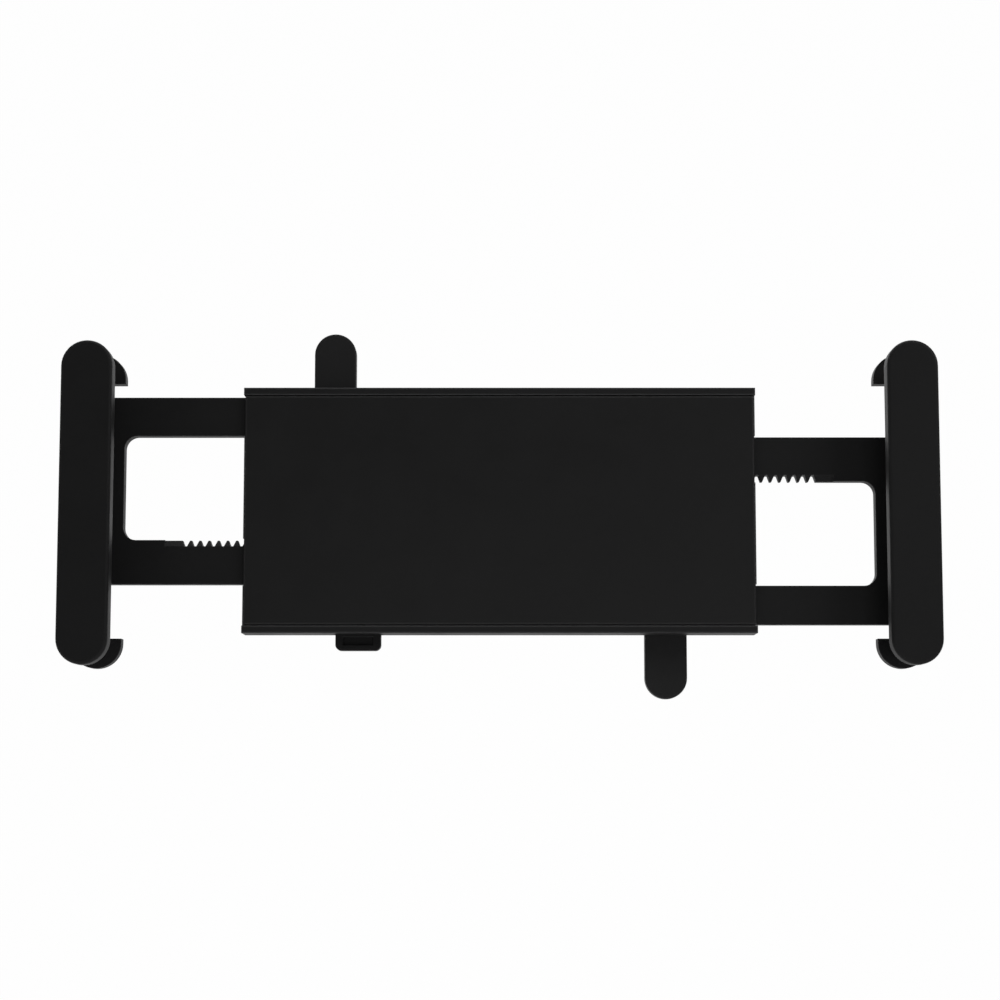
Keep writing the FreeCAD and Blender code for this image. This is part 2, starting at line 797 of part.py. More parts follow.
def make_rear_cover():
    """Moulded cover over the clamp arms, cut away at two corners where the hooks slide out."""
    body = new_body("rear_cover")
    cover_end = s.cover_width / 2
    half_outline = [
        corner(cover_end, cover_half),
        corner(-s.cover_notch, cover_half),
        corner(-s.cover_notch, cover_rib),
        corner(-cover_end, cover_rib),
    ]
    pad(body, body_back, cover_back, [half_outline + turned(half_outline)])
    round_edges(body, s.cover_corner_radius, lambda edge: is_outer_corner(edge, cover_end))
    round_edges(body, s.cover_edge_radius, lambda edge: lies_at(edge, y=cover_back))
    inside = cover_end - s.cover_wall
    channel = [
        corner(-s.body_width, cover_rib),
        corner(inside, cover_rib),
        corner(inside, cover_inner),
        corner(-s.cover_notch + s.cover_wall, cover_inner),
        corner(-s.cover_notch + s.cover_wall, clamp_arm_outer + s.edge_gap),
        corner(-s.body_width, clamp_arm_outer + s.edge_gap),
    ]
    pocket(body, body_back, floor_front, [channel])
    pocket(body, body_back, floor_front, [turned(channel)])
    well = pitch_radius + s.tooth_addendum + s.edge_gap
    pocket(body, body_back, floor_front, circles=[(ZERO, ZERO, well)])
    post = rectangle(s.spring_post, inside, clamp_arm_outer + s.edge_gap, cover_inner)
    pad(body, clamp_front, floor_front, [post, turned(post)])
    hollow = rectangle(
        s.screw_inner + s.screw_boss_radius,
        s.screw_outer - s.screw_boss_radius,
        s.cover_wall - cover_rib,
        cover_rib - s.cover_wall,
    )
    pocket(body, body_back, floor_front, [hollow, turned(hollow)])
    holes = [(x, ZERO, s.screw_radius + s.screw_gap) for x in screw_places]
    pocket(body, body_back, cover_back, circles=holes)
    recesses = [(x, ZERO, s.screw_head_radius + s.screw_gap) for x in screw_places]
    pocket(body, cover_back - s.screw_recess, cover_back, circles=recesses)


def is_outer_corner(edge, cover_end):
    """Whether an edge runs front to back at one of the cover's four outer corners."""
    box = edge.BoundBox
    front_to_back = box.XLength < NEAR and box.ZLength < NEAR
    at_end = abs(abs(box.XMin) - cover_end.number) < NEAR
    at_notch = abs(abs(box.XMin) - s.cover_notch.number) < NEAR
    at_top = abs(abs(box.ZMin) - cover_half.number) < NEAR
    return front_to_back and (at_end or (at_notch and at_top))


def make_cover_screws():
    """Four pan-head screws, from behind through the cover into the housing."""
    seat = cover_back - s.screw_recess
    screws = []
    for place, x in enumerate(screw_places):
        shank = doc.addObject("Part::Cylinder", f"screw_shank_{place}")
        shank.setExpression("Radius", s.screw_radius.text)
        shank.setExpression("Height", s.screw_length.text)
        head = doc.addObject("Part::Cylinder", f"screw_head_{place}")
        head.setExpression("Radius", s.screw_head_radius.text)
        head.setExpression("Height", s.screw_head_height.text)
        for piece, depth in ((shank, seat - s.screw_length), (head, seat)):
            piece.Placement = Placement(Vector(), Rotation(Vector(1, 0, 0), -90))
            piece.setExpression("Placement.Base.x", x.text)
            piece.setExpression("Placement.Base.y", depth.text)
        screw = doc.addObject("Part::Fuse", f"screw_{place}")
        screw.Base = shank
        screw.Tool = head
        screws.append(screw)
    group = doc.addObject("Part::Compound", "cover_screws")
    group.Label = "cover_screws"
    group.Links = screws
    subparts.append(group)


def make_spring(label, length, radius, turns, placement):
    """Coil spring: a round wire swept along a helix."""
    helix = doc.addObject("Part::Helix", label + "_helix")
    helix.setExpression("Height", length.text)
    helix.setExpression("Pitch", (length / turns).text)
    helix.setExpression("Radius", radius.text)
    wire = doc.addObject("Part::Circle", label + "_wire")
    wire.setExpression("Radius", s.spring_wire_radius.text)
    wire.Placement = Placement(Vector(), Rotation(Vector(1, 0, 0), 90))
    wire.setExpression("Placement.Base.x", radius.text)
    coil = doc.addObject("Part::Sweep", label)
    coil.Label = label
    coil.Sections = [wire]
    coil.Spine = (helix, [])
    coil.Solid = True
    coil.Frenet = True
    coil.Placement = placement
    subparts.append(coil)
    doc.recompute()


def make_springs():
    """The latch spring upright over the button, and the clamp springs along the two arms."""
    wire = s.spring_wire_radius.number
    latch_place = Vector(button_x.number, latch_middle.number, -latch_high.number + wire)
    make_spring(
        "latch_spring",
        s.latch_spring_length - s.spring_wire_radius * 2,
        s.latch_spring_radius,
        s.latch_spring_turns,
        Placement(latch_place, Rotation()),
    )
    start = s.spring_ear + s.spring_ear_width
    run = s.spring_post - start - s.spring_wire_radius * 2
    depth = (clamp_front + clamp_back) / 2
    along = Rotation(Vector(0, 1, 0), 90)
    left = Placement(Vector(start.number + wire, depth.number, spring_line.number), along)
    for label, place in (("left_clamp_spring", left), ("right_clamp_spring", HALF_TURN.multiply(left))):
        make_spring(label, run, s.clamp_spring_radius, s.clamp_spring_turns, place)


make_housing()
make_front_plate()
make_slider("left_slider", False)
make_slider("right_slider", True)
make_jaw_pad("left_jaw_pad", False)
make_jaw_pad("right_jaw_pad", True)
make_slider_pinion()
make_clamp_pinion()
make_gear_axle()
make_latch_plate()
make_release_button()
make_clamp_arm("left_clamp_arm", False)
make_clamp_arm("right_clamp_arm", True)
make_clamp_pad("left_clamp_pad", False)
make_clamp_pad("right_clamp_pad", True)
make_rear_cover()
make_cover_screws()
make_springs()
doc.recompute()

for item in doc.Objects:
    if "Invalid" in item.State or "Error" in item.State:
        raise RuntimeError(f"{item.Label} failed to build: {item.State}")
os.makedirs("parts", exist_ok=True)
for part in subparts:
    if part.Shape.isNull() or not part.Shape.isValid():
        raise RuntimeError(f"{part.Label} has no valid shape")
for part in subparts:
    part.Shape.exportStep(f"parts/{part.Label}.step")
    print(part.Label, len(part.Shape.Solids), round(part.Shape.Volume, 2))
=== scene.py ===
# %% [markdown]
# # Dressing a tablet holder
# The holder is a flat black body that hangs on the two posts of a car headrest. Two toothed sliders pull
# out of its ends, and the channel jaws on them take hold of a tablet. Its solids come ready made, each at
# its real size and place. This lesson gives every one of them a finish, and models the small things that
# a plain solid leaves out: the recess and thread of the screws, the soft ribs of the rubber and the
# coils of the springs.

# %% Load the frame
import math

import bmesh
import bpy
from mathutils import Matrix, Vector


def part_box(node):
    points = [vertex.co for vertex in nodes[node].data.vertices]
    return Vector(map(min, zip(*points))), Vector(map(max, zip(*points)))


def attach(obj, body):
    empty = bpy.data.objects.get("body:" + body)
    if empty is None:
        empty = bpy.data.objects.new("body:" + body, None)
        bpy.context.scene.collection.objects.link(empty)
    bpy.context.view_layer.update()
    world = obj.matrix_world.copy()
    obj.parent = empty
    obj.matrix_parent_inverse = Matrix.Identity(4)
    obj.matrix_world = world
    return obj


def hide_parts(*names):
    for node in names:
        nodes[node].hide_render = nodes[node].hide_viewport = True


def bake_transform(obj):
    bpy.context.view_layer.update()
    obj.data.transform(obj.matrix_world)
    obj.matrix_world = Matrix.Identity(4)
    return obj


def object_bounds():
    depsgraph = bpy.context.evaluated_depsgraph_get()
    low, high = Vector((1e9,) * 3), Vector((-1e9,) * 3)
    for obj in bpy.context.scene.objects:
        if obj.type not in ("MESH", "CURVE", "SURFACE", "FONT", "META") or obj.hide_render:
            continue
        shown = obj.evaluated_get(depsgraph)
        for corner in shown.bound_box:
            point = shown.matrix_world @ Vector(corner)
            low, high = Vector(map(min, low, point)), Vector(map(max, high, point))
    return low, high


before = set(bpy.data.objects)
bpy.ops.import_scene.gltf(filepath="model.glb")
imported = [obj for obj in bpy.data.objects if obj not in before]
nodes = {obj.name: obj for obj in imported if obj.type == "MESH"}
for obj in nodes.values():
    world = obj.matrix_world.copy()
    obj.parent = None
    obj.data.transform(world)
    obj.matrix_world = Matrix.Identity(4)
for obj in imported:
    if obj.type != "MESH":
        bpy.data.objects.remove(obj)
cad_low, cad_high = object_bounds()
MM = 0.001
print("nodes:", len(nodes), "box in mm:", [round(side / MM, 1) for side in cad_high - cad_low])

# %% [markdown]
# ## Wiring nodes
# Every finish below is a small tree of nodes. A socket takes either a plain value or a link from another
# socket, and one helper does both, so that the functions after it read like a list of what feeds what.

# %% Node helpers
NOISE_LOW = 0.3
NOISE_HIGH = 0.7


def feed(tree, socket, value):
    """Links another socket to this one, or sets it to a number or to a colour of three parts."""
    if isinstance(value, bpy.types.NodeSocket):
        tree.links.new(value, socket)
    elif isinstance(value, tuple):
        socket.default_value = (*value, 1.0)
    else:
        socket.default_value = value


def feed_all(tree, node, values):
    """Feeds several inputs of a node by name."""
    for name, value in values.items():
        feed(tree, node.inputs[name], value)


def calculate(tree, operation, *values):
    """A Math node on numbers or sockets."""
    node = tree.nodes.new("ShaderNodeMath")
    node.operation = operation
    for socket, value in zip(node.inputs, values):
        feed(tree, socket, value)
    return node.outputs["Value"]


def noise(tree, scale, detail, coordinates):
    """A noise texture on the given coordinates."""
    texture = tree.nodes.new("ShaderNodeTexNoise")
    feed_all(tree, texture, {"Vector": coordinates, "Scale": scale, "Detail": detail})
    return texture.outputs["Fac"]


def spread(tree, value, low, high, from_low=NOISE_LOW, from_high=NOISE_HIGH):
    """Stretches a value to a new range, by default from the range where most of a noise lies."""
    stretch = tree.nodes.new("ShaderNodeMapRange")
    ends = {"From Min": from_low, "From Max": from_high, "To Min": low, "To Max": high}
    feed_all(tree, stretch, {"Value": value, **ends})
    return stretch.outputs["Result"]


def new_group(name, inputs, outputs):
    """A shader node group with number inputs, each with its default, and outputs of the given kinds."""
    group = bpy.data.node_groups.new(name, "ShaderNodeTree")
    for socket, default in inputs:
        item = group.interface.new_socket(socket, in_out="INPUT", socket_type="NodeSocketFloat")
        item.default_value = default
    for socket, kind in outputs:
        group.interface.new_socket(socket, in_out="OUTPUT", socket_type=kind)
    return group, group.nodes.new("NodeGroupInput"), group.nodes.new("NodeGroupOutput")


# %% [markdown]
# ## One moulded grain for all the plastic
# The black mouldings have a spark-eroded skin: tiny pits that break up the reflection, with broad, faint
# patches where the mould ran warmer. A photograph of the skin would need an image, so the pits and the
# patches are noise, put together once in a node group. Each plastic then places the group with its own
# values.

# %% Moulded grain group
FINE_PITS = 2600.0
MATTE_SKIN = (0.50, 0.60)
PIT_DETAIL = 2.0
PATCHES_PER_METRE = 14
PATCH_DETAIL = 3.0
SMUDGES_PER_METRE = 90
SMUDGE_DETAIL = 4.0
SMUDGE_SHARE = 0.35
TONE_LOW = 0.45
TONE_HIGH = 0.9


def make_grain_group():
    """Pits for the bump, and patches for the tone and the roughness."""
    group, inputs, outputs = new_group(
        "moulded_grain",
        [("Pits per metre", FINE_PITS), ("Rough low", MATTE_SKIN[0]), ("Rough high", MATTE_SKIN[1])],
        [("Height", "NodeSocketFloat"), ("Tone", "NodeSocketFloat"), ("Roughness", "NodeSocketFloat")],
    )
    place = group.nodes.new("ShaderNodeTexCoord").outputs["Object"]
    pits = noise(group, inputs.outputs["Pits per metre"], PIT_DETAIL, place)
    patches = noise(group, PATCHES_PER_METRE, PATCH_DETAIL, place)
    smudges = noise(group, SMUDGES_PER_METRE, SMUDGE_DETAIL, place)
    mottle = calculate(group, "MULTIPLY_ADD", smudges, SMUDGE_SHARE, patches)
    tone = spread(group, mottle, 0.0, 1.0, TONE_LOW, TONE_HIGH)
    rough = spread(group, smudges, inputs.outputs["Rough low"], inputs.outputs["Rough high"])
    feed_all(group, outputs, {"Height": pits, "Tone": tone, "Roughness": rough})
    return group


moulded_grain = make_grain_group()
print("group:", moulded_grain.name, [item.name for item in moulded_grain.interface.items_tree])

# %% [markdown]
# ## Edges with a painted highlight
# Moulded edges are never quite sharp, and a rounded edge catches a thin line of light, so the plastics
# paint their edges a little paler than the flats as a painted highlight. The Bevel node gives the normal
# that a small rounding would have. Where it differs from the true normal there is an edge, and that
# difference is the mask. It is measured by the cosine of the angle between the two.

# %% Edge highlight group
EDGE_REACH = 0.4 * MM
EDGE_SAMPLES = 6
FULL_EDGE_COSINE = 0.75
NO_EDGE_COSINE = 0.99


def make_edge_group():
    """A mask that is 1 along edges, for a painted highlight, and the normal of a slightly rounded edge."""
    group, inputs, outputs = new_group(
        "painted_edge_highlight",
        [("Radius", EDGE_REACH)],
        [("Mask", "NodeSocketFloat"), ("Normal", "NodeSocketVector")],
    )
    rounded = group.nodes.new("ShaderNodeBevel")
    rounded.samples = EDGE_SAMPLES
    feed(group, rounded.inputs["Radius"], inputs.outputs["Radius"])
    rounded_normal = rounded.outputs["Normal"]
    cosine = group.nodes.new("ShaderNodeVectorMath")
    cosine.operation = "DOT_PRODUCT"
    feed(group, cosine.inputs[0], rounded_normal)
    feed(group, cosine.inputs[1], group.nodes.new("ShaderNodeNewGeometry").outputs["Normal"])
    mask = spread(group, cosine.outputs["Value"], 1.0, 0.0, FULL_EDGE_COSINE, NO_EDGE_COSINE)
    feed_all(group, outputs, {"Mask": mask, "Normal": rounded_normal})
    return group


painted_edge_highlight = make_edge_group()
print("group:", painted_edge_highlight.name, [item.name for item in painted_edge_highlight.interface.items_tree])

# %% [markdown]
# ## The black plastics
# The body, the plate, the sliders and the hooks come from different moulds, so their blacks differ by a
# hair: the plate is smoothest and the sliders are darkest. The hooks are palest, painted lighter to make up
# for the light that they miss under the body. One function builds them all, and the pale plastic of the
# gears too. The base colour mixes two near tones by the group's tone and goes paler along the edges, a
# painted highlight that is strongest on the rims of the body and the plate, and the pits feed a bump.

# %% Material helpers
MIX_FACTOR = 0
MIX_FIRST_COLOUR = 6
MIX_SECOND_COLOUR = 7
MIX_COLOUR_RESULT = 2


def mix_colours(tree, factor, first, second):
    """A colour mixed between two others; each may be a colour or a socket."""
    mix = tree.nodes.new("ShaderNodeMix")
    mix.data_type = "RGBA"
    feed(tree, mix.inputs[MIX_FACTOR], factor)
    feed(tree, mix.inputs[MIX_FIRST_COLOUR], first)
    feed(tree, mix.inputs[MIX_SECOND_COLOUR], second)
    return mix.outputs[MIX_COLOUR_RESULT]


def add_bump(tree, height, strength, depth):
    """A Bump node that turns heights into small relief."""
    bump = tree.nodes.new("ShaderNodeBump")
    feed_all(tree, bump, {"Height": height, "Strength": strength, "Distance": depth})
    return bump


def place_group(tree, group, **values):
    """A copy of a shared group in a material, with its own values."""
    node = tree.nodes.new("ShaderNodeGroup")
    node.node_tree = group
    for name, value in values.items():
        node.inputs[name.replace("_", " ").capitalize()].default_value = value
    return node


def new_material(name):
    """A material with its Principled shader."""
    material = bpy.data.materials.new(name)
    material.use_nodes = True
    shader = next(node for node in material.node_tree.nodes if node.type == "BSDF_PRINCIPLED")
    return material, material.node_tree, shader


# %% Plastic materials
PIT_DEPTH = 0.05 * MM
PITTED = 0.35
DULL = 0.16
# Painted highlights: the pale colours that the edges and the rims of the plastics take.
EDGE_HIGHLIGHT_BLACK = (0.030, 0.030, 0.031)
RIM_HIGHLIGHT_BLACK = (0.095, 0.095, 0.097)
RIM_REACH = 0.9 * MM


def make_plastic(
    name, dark, pale, edge, pits=FINE_PITS, rough=MATTE_SKIN, bump=PITTED, gloss=DULL, round_edge=EDGE_REACH
):
    """Moulded plastic between two tones, with a painted highlight along its edges."""
    material, tree, shader = new_material(name)
    grain = place_group(tree, moulded_grain, pits_per_metre=pits, rough_low=rough[0], rough_high=rough[1])
    edges = place_group(tree, painted_edge_highlight, radius=round_edge)
    skin = mix_colours(tree, grain.outputs["Tone"], dark, pale)
    # The edge colour goes on where the mask is 1: a painted highlight along the edges.
    colour = mix_colours(tree, edges.outputs["Mask"], skin, edge)
    relief = add_bump(tree, grain.outputs["Height"], bump, PIT_DEPTH)
    feed(tree, relief.inputs["Normal"], edges.outputs["Normal"])
    feed_all(tree, shader, {"Base Color": colour, "Roughness": grain.outputs["Roughness"]})
    feed_all(tree, shader, {"Normal": relief.outputs["Normal"], "Specular IOR Level": gloss})
    return material


body_black = make_plastic(
    "body_black",
    dark=(0.0100, 0.0100, 0.0103),
    pale=(0.0124, 0.0124, 0.0127),
    edge=RIM_HIGHLIGHT_BLACK,
    round_edge=RIM_REACH,
)
plate_black = make_plastic(
    "plate_black",
    dark=(0.0104, 0.0104, 0.0106),
    pale=(0.0128, 0.0128, 0.0130),
    edge=RIM_HIGHLIGHT_BLACK,
    pits=4200.0,
    rough=(0.46, 0.56),
    bump=0.22,
    round_edge=RIM_REACH,
)
slider_black = make_plastic(
    "slider_black", dark=(0.0076, 0.0076, 0.0078), pale=(0.0096, 0.0096, 0.0099), edge=EDGE_HIGHLIGHT_BLACK
)
# The hooks are painted paler than the other blacks: painted light that makes up for the light they miss
# under the body.
hook_black_painted_light = make_plastic(
    "hook_black_painted_light", dark=(0.0150, 0.0150, 0.0153), pale=(0.0180, 0.0180, 0.0184), edge=EDGE_HIGHLIGHT_BLACK
)
gear_white = make_plastic(
    "gear_acetal",
    dark=(0.50, 0.49, 0.45),
    pale=(0.58, 0.57, 0.53),
    # A painted highlight along the edges of the gears.
    edge=(0.66, 0.65, 0.61),
    pits=2000.0,
    rough=(0.36, 0.46),
    bump=0.1,
    gloss=0.45,
)
print("plastics:", [made.name for made in (body_black, plate_black, slider_black, hook_black_painted_light, gear_white)])

# %% [markdown]
# ## Rubber, steel and blackened screws
# The pads are soft rubber, which is duller than the plastic and picks up pale dust. The axle, the latch
# plate and the springs are zinc-plated steel with fine drawn lines, made by squeezing a noise along one
# axis. The screws are blackened steel with an uneven tone, so they use the same function without the
# squeeze.

# %% Rubber and metal materials
RUBBER_PITS = 3800.0
RUBBER_ROUGH_LOW = 0.72
RUBBER_ROUGH_HIGH = 0.86
RUBBER_BLACK = (0.012, 0.012, 0.012)
RUBBER_DUST = (0.021, 0.021, 0.0205)
RUBBER_BUMP = 0.5
RUBBER_PIT_DEPTH = 0.06 * MM
RUBBER_GLOSS = 0.25
LINES_PER_METRE = 900.0
LINE_DETAIL = 3.0
LINE_BUMP = 0.15
LINE_DEPTH = 0.03 * MM
DRAWN_ALONG_X = (0.08, 1.0, 1.0)
NOT_DRAWN = (1.0, 1.0, 1.0)


def make_rubber(name):
    """Soft black rubber with dust in its texture."""
    material, tree, shader = new_material(name)
    grain = place_group(
        tree,
        moulded_grain,
        pits_per_metre=RUBBER_PITS,
        rough_low=RUBBER_ROUGH_LOW,
        rough_high=RUBBER_ROUGH_HIGH,
    )
    colour = mix_colours(tree, grain.outputs["Tone"], RUBBER_BLACK, RUBBER_DUST)
    relief = add_bump(tree, grain.outputs["Height"], RUBBER_BUMP, RUBBER_PIT_DEPTH)
    feed_all(tree, shader, {"Base Color": colour, "Roughness": grain.outputs["Roughness"]})
    feed_all(tree, shader, {"Normal": relief.outputs["Normal"], "Specular IOR Level": RUBBER_GLOSS})
    return material


def make_metal(name, dark, pale, stretch, rough):
    """Plated or blackened steel, with lines drawn along the axis that has the small stretch value."""
    material, tree, shader = new_material(name)
    place = tree.nodes.new("ShaderNodeTexCoord").outputs["Object"]
    squeeze = tree.nodes.new("ShaderNodeMapping")
    squeeze.inputs["Scale"].default_value = stretch
    feed(tree, squeeze.inputs["Vector"], place)
    lines = noise(tree, LINES_PER_METRE, LINE_DETAIL, squeeze.outputs["Vector"])
    colour = mix_colours(tree, spread(tree, lines, 0.0, 1.0), dark, pale)
    relief = add_bump(tree, lines, LINE_BUMP, LINE_DEPTH)
    feed_all(tree, shader, {"Base Color": colour, "Roughness": spread(tree, lines, *rough)})
    feed_all(tree, shader, {"Normal": relief.outputs["Normal"], "Metallic": 1.0})
    return material


pad_rubber = make_rubber("pad_rubber")
zinc_steel = make_metal(
    "zinc_steel",
    dark=(0.46, 0.46, 0.48),
    pale=(0.62, 0.62, 0.63),
    stretch=DRAWN_ALONG_X,
    rough=(0.24, 0.38),
)
black_oxide = make_metal(
    "black_oxide",
    dark=(0.020, 0.020, 0.021),
    pale=(0.045, 0.045, 0.047),
    stretch=NOT_DRAWN,
    rough=(0.38, 0.5),
)
print("others:", pad_rubber.name, zinc_steel.name, black_oxide.name)

# %% [markdown]
# ## A finish for every solid
# Each solid gets one material, picked by the name of its node. The pads, the springs and the screws are
# modelled again further down, and their new pieces take the same finishes.

# %% Put the finishes on the solids
FINISHES = {
    "housing": body_black,
    "front_plate": plate_black,
    "rear_cover": body_black,
    "left_slider": slider_black,
    "right_slider": slider_black,
    "release_button": slider_black,
    "left_clamp_arm": hook_black_painted_light,
    "right_clamp_arm": hook_black_painted_light,
    "slider_pinion": gear_white,
    "clamp_pinion": gear_white,
    "left_jaw_pad": pad_rubber,
    "right_jaw_pad": pad_rubber,
    "left_clamp_pad": pad_rubber,
    "right_clamp_pad": pad_rubber,
    "gear_axle": zinc_steel,
    "latch_plate": zinc_steel,
    "latch_spring": zinc_steel,
    "left_clamp_spring": zinc_steel,
    "right_clamp_spring": zinc_steel,
    "cover_screws": black_oxide,
}


def dress(thing, material):
    """Gives an object one material."""
    thing.data.materials.clear()
    thing.data.materials.append(material)


for node_name, finish in FINISHES.items():
    dress(nodes[node_name], finish)
print("dressed:", len(FINISHES), "of", len(nodes))

# %% [markdown]
# ## Drawing a section by hand
# The rubber strips, the linings and the screws are each one section, extruded or spun. A section is drawn
# here as in the viewport: a plane is merged to a single point, and the point is extruded from corner to
# corner. An operator acts on whatever is selected, so everything is deselected before a new piece starts.

# %% Section helpers
DOUBLES_WITHIN = 0.001 * MM


def deselect_all():
    """Leaves nothing selected, so that an operator acts only on what comes next."""
    bpy.ops.object.select_all(action="DESELECT")


def draw_section(name, corners, filled=True):
    """An outline in edit mode, drawn by extruding one point, and filled unless it is to be spun whole."""
    deselect_all()
    bpy.ops.mesh.primitive_plane_add(size=MM, location=corners[0])
    piece = bpy.context.object
    piece.name = name
    bpy.ops.object.transform_apply(location=True, rotation=False, scale=False)
    bpy.ops.object.mode_set(mode="EDIT")
    bpy.ops.mesh.select_all(action="SELECT")
    bpy.ops.mesh.merge(type="CENTER")
    for start, end in zip(corners, corners[1:]):
        step = Vector(end) - Vector(start)
        bpy.ops.mesh.extrude_region_move(TRANSFORM_OT_translate={"value": step})
    bpy.ops.mesh.select_all(action="SELECT")
    if filled:
        bpy.ops.mesh.edge_face_add()
    return piece


def close_piece(piece):
    """Merges doubled points, turns the faces outwards and leaves edit mode."""
    bpy.ops.mesh.select_all(action="SELECT")
    bpy.ops.mesh.remove_doubles(threshold=DOUBLES_WITHIN)
    bpy.ops.mesh.normals_make_consistent(inside=False)
    bpy.ops.object.mode_set(mode="OBJECT")
    return piece


# %% Helpers for finished pieces
BEVEL_FROM_ANGLE = math.radians(32)
SMOOTH_UP_TO_ANGLE = math.radians(40)


def soften(piece, width, segments):
    """Rounds the sharp edges of a finished piece and smooths its shading."""
    bevel = piece.modifiers.new("soft_edges", "BEVEL")
    bevel.width = width
    bevel.segments = segments
    bevel.limit_method = "ANGLE"
    bevel.angle_limit = BEVEL_FROM_ANGLE
    bpy.context.view_layer.objects.active = piece
    bpy.ops.object.modifier_apply(modifier=bevel.name)
    bpy.ops.object.shade_smooth_by_angle(angle=SMOOTH_UP_TO_ANGLE)


def copy_piece(piece, name):
    """A copy with its own mesh, left selected and active."""
    deselect_all()
    piece.select_set(True)
    bpy.context.view_layer.objects.active = piece
    bpy.ops.object.duplicate()
    copy = bpy.context.object
    copy.name = name
    return copy


def turned_copy(piece, name):
    """The twin of a piece on the other side, turned half a turn about the gear axis."""
    twin = copy_piece(piece, name)
    bpy.ops.transform.rotate(value=math.pi, orient_axis="Y", center_override=(0, 0, 0))
    bpy.ops.object.transform_apply(location=True, rotation=True, scale=True)
    return twin


def mesh_box(piece):
    """The lowest and highest corner of a piece's mesh."""
    places = [vertex.co for vertex in piece.data.vertices]
    low = Vector([min(place[axis] for place in places) for axis in range(3)])
    high = Vector([max(place[axis] for place in places) for axis in range(3)])
    return low, high


def settle(piece, material, node):
    """Gives a new piece its finish, hides the solid that it stands for and prints how far it reaches
    outside it.
    """
    dress(piece, material)
    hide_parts(node)
    low, high = mesh_box(piece)
    node_low, node_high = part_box(node)
    outside = max(*(node_low - low), *(high - node_high), 0.0)
    print(piece.name, "faces", len(piece.data.polygons), "outside the solid by mm", round(outside / MM, 3))


# %% [markdown]
# ## Ribbed strips in the jaws
# Each jaw holds the tablet's end on a strip of soft rubber. Ribs run up and down it, so that the tablet
# can't creep. A texture could fake them, but the strip shows from the side, where its edge is a row of
# rounded teeth. So the rib profile is drawn as a section, extruded to the strip's height and then
# softened by a bevel.

# %% Jaw strips
STRIP_VALLEYS = 5
STRIP_PITCH = 2.4 * MM
VALLEY_DEPTH = 0.5 * MM
VALLEY_MOUTH = 0.8 * MM
VALLEY_FLOOR = 0.3 * MM
STRIP_ROUNDING = 0.14 * MM
STRIP_SEGMENTS = 3
PLATE_FACE_Y = 0.0


def strip_section():
    """The strip seen from above: a flat back, and a face with valleys in front of the plate."""
    low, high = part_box("left_jaw_pad")
    corners = [(low.x, low.y, low.z), (high.x, low.y, low.z)]
    middle = (low.y + min(high.y, PLATE_FACE_Y)) / 2
    for valley in range(STRIP_VALLEYS):
        centre = middle + STRIP_PITCH * (valley - (STRIP_VALLEYS - 1) / 2)
        corners += [
            (high.x, centre - VALLEY_MOUTH / 2, low.z),
            (high.x - VALLEY_DEPTH, centre - VALLEY_FLOOR / 2, low.z),
            (high.x - VALLEY_DEPTH, centre + VALLEY_FLOOR / 2, low.z),
            (high.x, centre + VALLEY_MOUTH / 2, low.z),
        ]
    corners += [(high.x, high.y, low.z), (low.x, high.y, low.z)]
    return corners, high.z - low.z


strip_corners, strip_height = strip_section()
left_strip = draw_section("left_jaw_strip", strip_corners)
bpy.ops.mesh.extrude_region_move(TRANSFORM_OT_translate={"value": (0, 0, strip_height)})
close_piece(left_strip)
soften(left_strip, STRIP_ROUNDING, STRIP_SEGMENTS)
right_strip = turned_copy(left_strip, "right_jaw_strip")
settle(left_strip, pad_rubber, "left_jaw_pad")
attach(left_strip, "left_jaw")
settle(right_strip, pad_rubber, "right_jaw_pad")
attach(right_strip, "right_jaw")

# %% [markdown]
# ## Linings of the post hooks
# A headrest post is smooth steel, so each hook is lined with rubber that has rings moulded round its
# inside. Plain grooves could be cut one by one, but a section with a wavy inner side makes them all at
# once when it is spun half a turn about the middle of the post.

# %% Hook linings
LINING_RINGS = 9
LINING_STEPS = 28
POST_RADIUS = 6.0 * MM
RING_DEPTH = 0.3 * MM
RING_SLOPE = 0.35 * MM
RING_FLOOR = RING_SLOPE / 3
LINING_ROUNDING = 0.1 * MM
LINING_SEGMENTS = 2


def lining_section():
    """The lining cut through: a straight outside, and an inside of rings with flat tops."""
    low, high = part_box("left_clamp_pad")
    axis = Vector((high.x, (low.y + high.y) / 2, 0.0))
    outside = axis.y + (high.y - low.y) / 2
    ring_top = axis.y + POST_RADIUS
    pitch = (high.z - low.z) / LINING_RINGS
    corners = [(axis.x, outside, high.z), (axis.x, outside, low.z), (axis.x, ring_top, low.z)]
    for ring in range(1, LINING_RINGS):
        middle = low.z + pitch * ring
        corners += [
            (axis.x, ring_top, middle - RING_SLOPE),
            (axis.x, ring_top + RING_DEPTH, middle - RING_FLOOR),
            (axis.x, ring_top + RING_DEPTH, middle + RING_FLOOR),
            (axis.x, ring_top, middle + RING_SLOPE),
        ]
    corners.append((axis.x, ring_top, high.z))
    return corners, axis


lining_corners, post_axis = lining_section()
left_lining = draw_section("left_hook_lining", lining_corners)
bpy.ops.mesh.spin(steps=LINING_STEPS, angle=-math.pi, center=post_axis, axis=(0, 0, 1))
close_piece(left_lining)
soften(left_lining, LINING_ROUNDING, LINING_SEGMENTS)
right_lining = turned_copy(left_lining, "right_hook_lining")
settle(left_lining, pad_rubber, "left_clamp_pad")
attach(left_lining, "left_clamp")
settle(right_lining, pad_rubber, "right_clamp_pad")
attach(right_lining, "right_clamp")

# %% [markdown]
# ## Cover screws
# Four small screws hold the cover. The solid is two plain cylinders; the real thing has a domed head with
# a cross recess and a threaded shank. The outline of half a screw is spun about its axis, which makes the
# thread a row of rings, hidden in the cover. A tapered cross is cut from the head by a Boolean, and the
# finished screw is copied to its four places, each turned as it was left.

